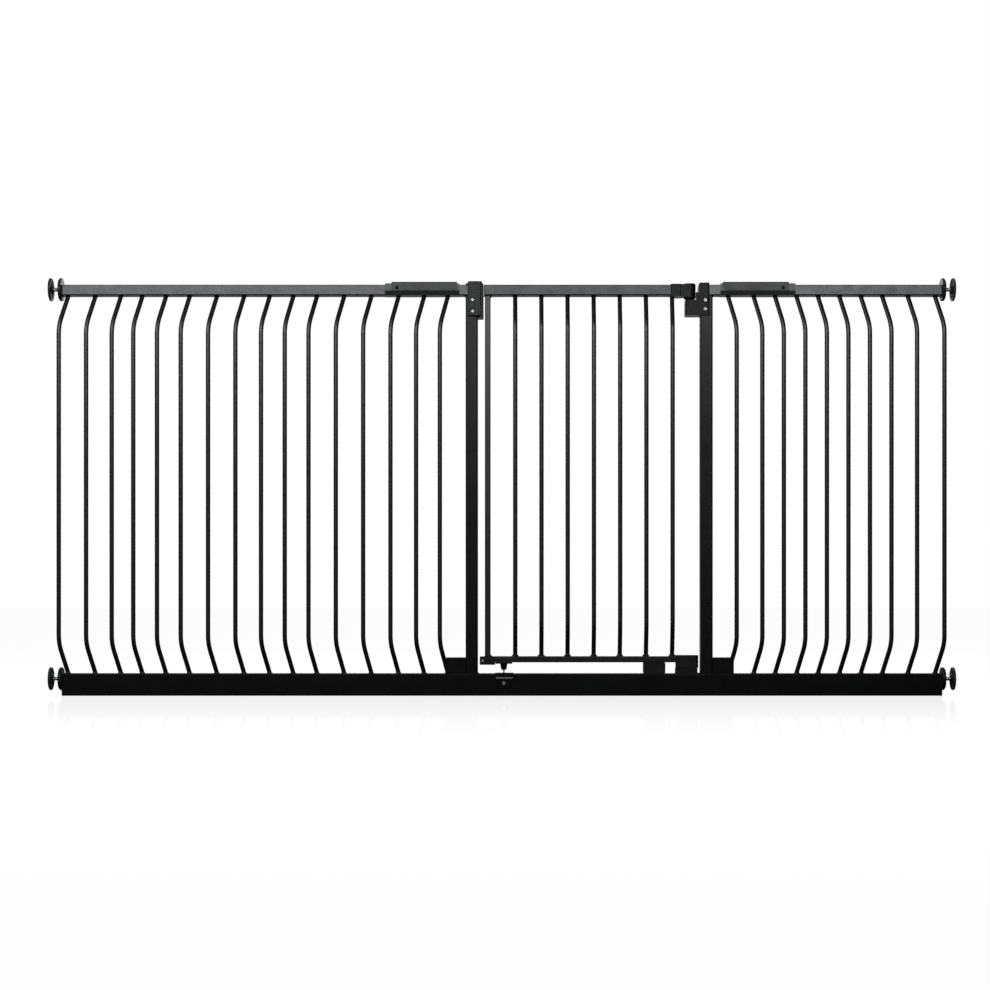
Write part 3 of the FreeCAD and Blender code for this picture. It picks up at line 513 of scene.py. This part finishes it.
def threaded_rod(skin, start, outward, length):
    """A rod along X with a rolled thread, chamfered at both ends."""
    steps = int(length / THREAD_PITCH * THREAD_SEGMENTS)
    lines = {"root": [], "crest": []}
    for step in range(steps + 1):
        angle = 2 * math.pi * step / THREAD_SEGMENTS
        at_root = min(THREAD_PITCH * step / THREAD_SEGMENTS, length)
        for line, along, radius in (("root", at_root, THREAD_ROOT),
                                    ("crest", min(at_root + THREAD_PITCH / 2, length), THREAD_RADIUS)):
            near_end = min(along, length - along)
            reach = min(radius, THREAD_ROOT - 0.6 * MM + near_end * 0.8)
            spoke = Vector((outward * along, reach * math.sin(angle), reach * math.cos(angle)))
            lines[line].append(skin.add(start + spoke))
    root, crest = lines["root"], lines["crest"]
    for step in range(steps):
        skin.faces.append((root[step], root[step + 1], crest[step + 1], crest[step]))
        after = step + THREAD_SEGMENTS
        if after < steps:
            skin.faces.append((crest[step], crest[step + 1], root[after + 1], root[after]))
    for centre, rim in ((0.0, root[:THREAD_SEGMENTS + 1] + crest[:1]),
                        (length, crest[steps - THREAD_SEGMENTS:] + root[steps:])):
        middle = skin.add(start + Vector((outward * centre, 0, 0)))
        for first, second in zip(rim, rim[1:] + rim[:1]):
            skin.faces.append((first, second, middle))


def spun(skin, outline, outer, inward, segments=72):
    """An outline of (depth, radius) turned about the X line through a point."""
    rings = []
    for depth, radius in outline:
        centre = outer + Vector((inward * depth * MM, 0, 0))
        if radius == 0:
            rings.append([skin.add(centre)])
        else:
            rings.append(skin.ring(circle(centre, Vector((0, 1, 0)), Vector((0, 0, 1)),
                                          radius * MM, segments)))
    for first, second in zip(rings, rings[1:]):
        skin.bridge(first, second)


def radial_ribs(skin, hub, inward, count, radii, half_width, low, high):
    """Rounded ribs that run out from a hub on a disc's face."""
    for rib in range(count):
        angle = 2 * math.pi * (rib + 0.5) / count
        spoke = Vector((0, math.sin(angle), math.cos(angle)))
        aside = Vector((0, math.cos(angle), -math.sin(angle)))
        rings = []
        for share in (0.0, 0.06, 0.94, 1.0):
            radius = (radii[0] + (radii[1] - radii[0]) * share) * MM
            top = high if 0 < share < 1 else (low + high) / 2
            shoulder = top * 0.9 + low * 0.1
            section = ((-half_width, low), (-half_width * 0.8, shoulder), (-half_width * 0.3, top),
                       (half_width * 0.3, top), (half_width * 0.8, shoulder), (half_width, low))
            rings.append([hub + spoke * radius + aside * (side * MM) + Vector((inward * depth * MM, 0, 0))
                          for side, depth in section])
        skin.loft(rings)


def corner_hardware(corner):
    inward = 1.0 if corner.endswith("left") else -1.0
    pad_low, pad_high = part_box(corner + "_pad")
    middle = (pad_low + pad_high) / 2
    wall_face = Vector((pad_low.x if inward > 0 else pad_high.x, middle.y, middle.z))

    rod_low, rod_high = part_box(corner + "_spindle")
    rod_tip = Vector((rod_low.x if inward > 0 else rod_high.x, middle.y, middle.z))
    rod = Skin()
    threaded_rod(rod, rod_tip, inward, rod_high.x - rod_low.x)
    spindle = rod.piece(corner + "_threaded_spindle", "thread", "zinc_steel", corner + "_screw_foot", 60.0)
    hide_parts(corner + "_spindle")

    foot = Skin()
    spun(foot, PAD_OUTLINE, wall_face, inward)
    radial_ribs(foot, wall_face, inward, PAD_RIBS, PAD_RIB_REACH, 0.9, 4.4, 6.0)
    pad = foot.piece(corner + "_wall_pad", "rubber", "pad_rubber", corner + "_screw_foot")
    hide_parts(corner + "_pad")

    wheel_low, wheel_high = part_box(corner + "_wheel")
    hub_face = wheel_low.x if inward > 0 else wheel_high.x
    ribs = Skin()
    hub = Vector((hub_face, middle.y, middle.z))
    radial_ribs(ribs, hub, inward, WHEEL_RIBS, WHEEL_RIB_REACH, 1.0, 2.8, 1.3)
    ribs.piece(corner + "_wheel_ribs", "plastic", "black_plastic", corner + "_hand_wheel")
    rim = Skin()
    spun(rim, WHEEL_RIM_OUTLINE, hub, inward)
    rim.piece(corner + "_wheel_rim", "plastic", "black_plastic", corner + "_hand_wheel")


# ---------------------------------------------------------------------------
# Studio
# ---------------------------------------------------------------------------

FLOOR_GLOW = 0.97
REFLECTION = 1.0              # how much of the gate the floor mirrors close by
REFLECTION_REACH = 1.75       # how far in front of the gate the mirroring fades out
FLOOR_SHADE_REACH = (0.9, 2.6)   # painted shade: the floor as the gate mirrors it glows dim here, pale beyond
MIRRORED_FLOOR = 0.5
BACKDROP_STRENGTH = 0.16      # the white backdrop, as the object and floor mirror it
ROOM_STRENGTH = 0.03


def camera():
    lens = bpy.data.cameras.new("camera")
    lens.sensor_width = SENSOR
    lens.lens = SENSOR * CAMERA_DISTANCE / FIELD_WIDTH
    lens.shift_x, lens.shift_y = CAMERA_SHIFT
    place = bpy.data.objects.new("camera", lens)
    place.location = (0.0, -CAMERA_DISTANCE, CAMERA_HEIGHT)
    place.rotation_euler = (math.radians(90), 0.0, 0.0)
    bpy.context.scene.collection.objects.link(place)
    bpy.context.scene.camera = place


def area_light(name, place, target, size, radiance, colour=(1.0, 1.0, 1.0)):
    """A soft panel of a given brightness, turned towards a point."""
    light = bpy.data.lights.new(name, "AREA")
    light.shape = "RECTANGLE"
    light.size, light.size_y = size
    light.energy = radiance * math.pi * size[0] * size[1]
    light.color = colour
    lamp = bpy.data.objects.new(name, light)
    lamp.location = place
    lamp.rotation_euler = (Vector(target) - Vector(place)).to_track_quat("-Z", "Y").to_euler()
    lamp.visible_camera = False
    bpy.context.scene.collection.objects.link(lamp)


def lights():
    area_light("front_strip", (-0.3, -3.0, 1.62), (-0.1, 0.0, 0.95), (4.6, 0.7), 7.0, (0.95, 0.97, 1.0))
    area_light("left_key", (-2.7, -2.3, 2.0), (0.0, 0.0, 0.8), (1.3, 1.1), 5.0)
    area_light("rear_soft", (0.6, 3.2, 1.9), (0.0, 0.0, 0.6), (3.4, 0.9), 3.0)
    area_light("overhead", (0.0, 0.2, 3.2), (0.0, 0.0, 0.0), (4.0, 1.6), 1.2)


def studio_world():
    """White to the camera; as a reflection, bright behind the gate and dim in front."""
    world = bpy.data.worlds.new("studio")
    world.use_nodes = True
    tree = world.node_tree
    tree.nodes.clear()
    seen = tree.nodes.new("ShaderNodeBackground")
    mirrored = tree.nodes.new("ShaderNodeBackground")
    direction = tree.nodes.new("ShaderNodeTexCoord")
    axes = tree.nodes.new("ShaderNodeSeparateXYZ")
    fade = tree.nodes.new("ShaderNodeMapRange")
    for socket, number in (("From Min", -0.1), ("From Max", 0.7),
                           ("To Min", ROOM_STRENGTH), ("To Max", BACKDROP_STRENGTH)):
        fade.inputs[socket].default_value = number
    path = tree.nodes.new("ShaderNodeLightPath")
    mix = tree.nodes.new("ShaderNodeMixShader")
    output = tree.nodes.new("ShaderNodeOutputWorld")
    seen.inputs["Color"].default_value = (1.0, 1.0, 1.0, 1.0)
    mirrored.inputs["Color"].default_value = (1.0, 1.0, 1.0, 1.0)
    tree.links.new(direction.outputs["Generated"], axes.inputs[0])
    tree.links.new(axes.outputs["Y"], fade.inputs["Value"])
    tree.links.new(fade.outputs["Result"], mirrored.inputs["Strength"])
    tree.links.new(path.outputs["Is Camera Ray"], mix.inputs[0])
    tree.links.new(mirrored.outputs[0], mix.inputs[1])
    tree.links.new(seen.outputs[0], mix.inputs[2])
    tree.links.new(mix.outputs[0], output.inputs["Surface"])
    bpy.context.scene.world = world


def floor_material():
    """Glowing white floor that mirrors the gate a little where it stands; to other rays it glows dim near
    the gate, a painted shade.
    """
    material = bpy.data.materials.new("white_floor")
    material.use_nodes = True
    tree = material.node_tree
    tree.nodes.clear()
    place = tree.nodes.new("ShaderNodeTexCoord")
    axes = tree.nodes.new("ShaderNodeSeparateXYZ")
    distance = tree.nodes.new("ShaderNodeMath")
    distance.operation = "ABSOLUTE"
    near = tree.nodes.new("ShaderNodeMapRange")
    for socket, number in (("From Min", 0.0), ("From Max", REFLECTION_REACH),
                           ("To Min", REFLECTION), ("To Max", 0.0)):
        near.inputs[socket].default_value = number
    glow_level = tree.nodes.new("ShaderNodeMapRange")
    for socket, number in (("From Min", 0.0), ("From Max", REFLECTION), ("To Min", FLOOR_GLOW),
                           ("To Max", FLOOR_GLOW - REFLECTION * BACKDROP_STRENGTH)):
        glow_level.inputs[socket].default_value = number
    glow = tree.nodes.new("ShaderNodeEmission")
    matt = tree.nodes.new("ShaderNodeBsdfDiffuse")
    matt.inputs["Color"].default_value = (0.07, 0.07, 0.07, 1.0)
    gloss = tree.nodes.new("ShaderNodeBsdfGlossy")
    gloss.inputs["Roughness"].default_value = 0.05
    # painted shade: to other rays than the camera's the floor glows dim near the gate and paler further
    # off
    mirrored_level = tree.nodes.new("ShaderNodeMapRange")
    for socket, number in (("From Min", FLOOR_SHADE_REACH[0]), ("From Max", FLOOR_SHADE_REACH[1]),
                           ("To Min", 0.01), ("To Max", MIRRORED_FLOOR)):
        mirrored_level.inputs[socket].default_value = number
    mirrored = tree.nodes.new("ShaderNodeEmission")
    path = tree.nodes.new("ShaderNodeLightPath")
    with_matt = tree.nodes.new("ShaderNodeAddShader")
    with_gloss = tree.nodes.new("ShaderNodeAddShader")
    mix = tree.nodes.new("ShaderNodeMixShader")
    output = tree.nodes.new("ShaderNodeOutputMaterial")
    tree.links.new(place.outputs["Object"], axes.inputs[0])
    tree.links.new(axes.outputs["Y"], distance.inputs[0])
    tree.links.new(distance.outputs[0], near.inputs["Value"])
    tree.links.new(near.outputs["Result"], glow_level.inputs["Value"])
    tree.links.new(near.outputs["Result"], gloss.inputs["Color"])
    tree.links.new(glow_level.outputs["Result"], glow.inputs["Strength"])
    tree.links.new(glow.outputs[0], with_matt.inputs[0])
    tree.links.new(matt.outputs[0], with_matt.inputs[1])
    tree.links.new(with_matt.outputs[0], with_gloss.inputs[0])
    tree.links.new(gloss.outputs[0], with_gloss.inputs[1])
    tree.links.new(path.outputs["Is Camera Ray"], mix.inputs[0])
    tree.links.new(distance.outputs[0], mirrored_level.inputs["Value"])
    tree.links.new(mirrored_level.outputs["Result"], mirrored.inputs["Strength"])
    tree.links.new(mirrored.outputs[0], mix.inputs[1])
    tree.links.new(with_gloss.outputs[0], mix.inputs[2])
    tree.links.new(mix.outputs[0], output.inputs["Surface"])
    return material


def floor():
    reach = 30.0
    mesh = bpy.data.meshes.new("floor")
    corners = [(-reach, -reach, 0.0), (reach, -reach, 0.0), (reach, reach, 0.0), (-reach, reach, 0.0)]
    mesh.from_pydata(corners, [], [(0, 1, 2, 3)])
    mesh.materials.append(floor_material())
    sheet = bpy.data.objects.new("floor", mesh)
    sheet.location = (0.0, 0.0, -0.0004)
    bpy.context.scene.collection.objects.link(sheet)


# ---------------------------------------------------------------------------
# Everything
# ---------------------------------------------------------------------------

camera()
studio_world()
lights()
floor()
bpy.context.scene.view_settings.view_transform = "Standard"

dress_nodes()
bar_welds("left_panel_welds", "left_panel_bars", "frame", -1.0, 3.0 * MM, 2.2 * MM)
bar_welds("right_panel_welds", "right_panel_bars", "frame", 1.0, 3.0 * MM, 2.2 * MM)
bar_welds("door_bar_welds", "door_bars", "door", 0.0, 5.0 * MM, 2.2 * MM)
stile_welds()
frame_welds()
catch_ridge()
for corner_name in CORNERS:
    corner_hardware(corner_name)
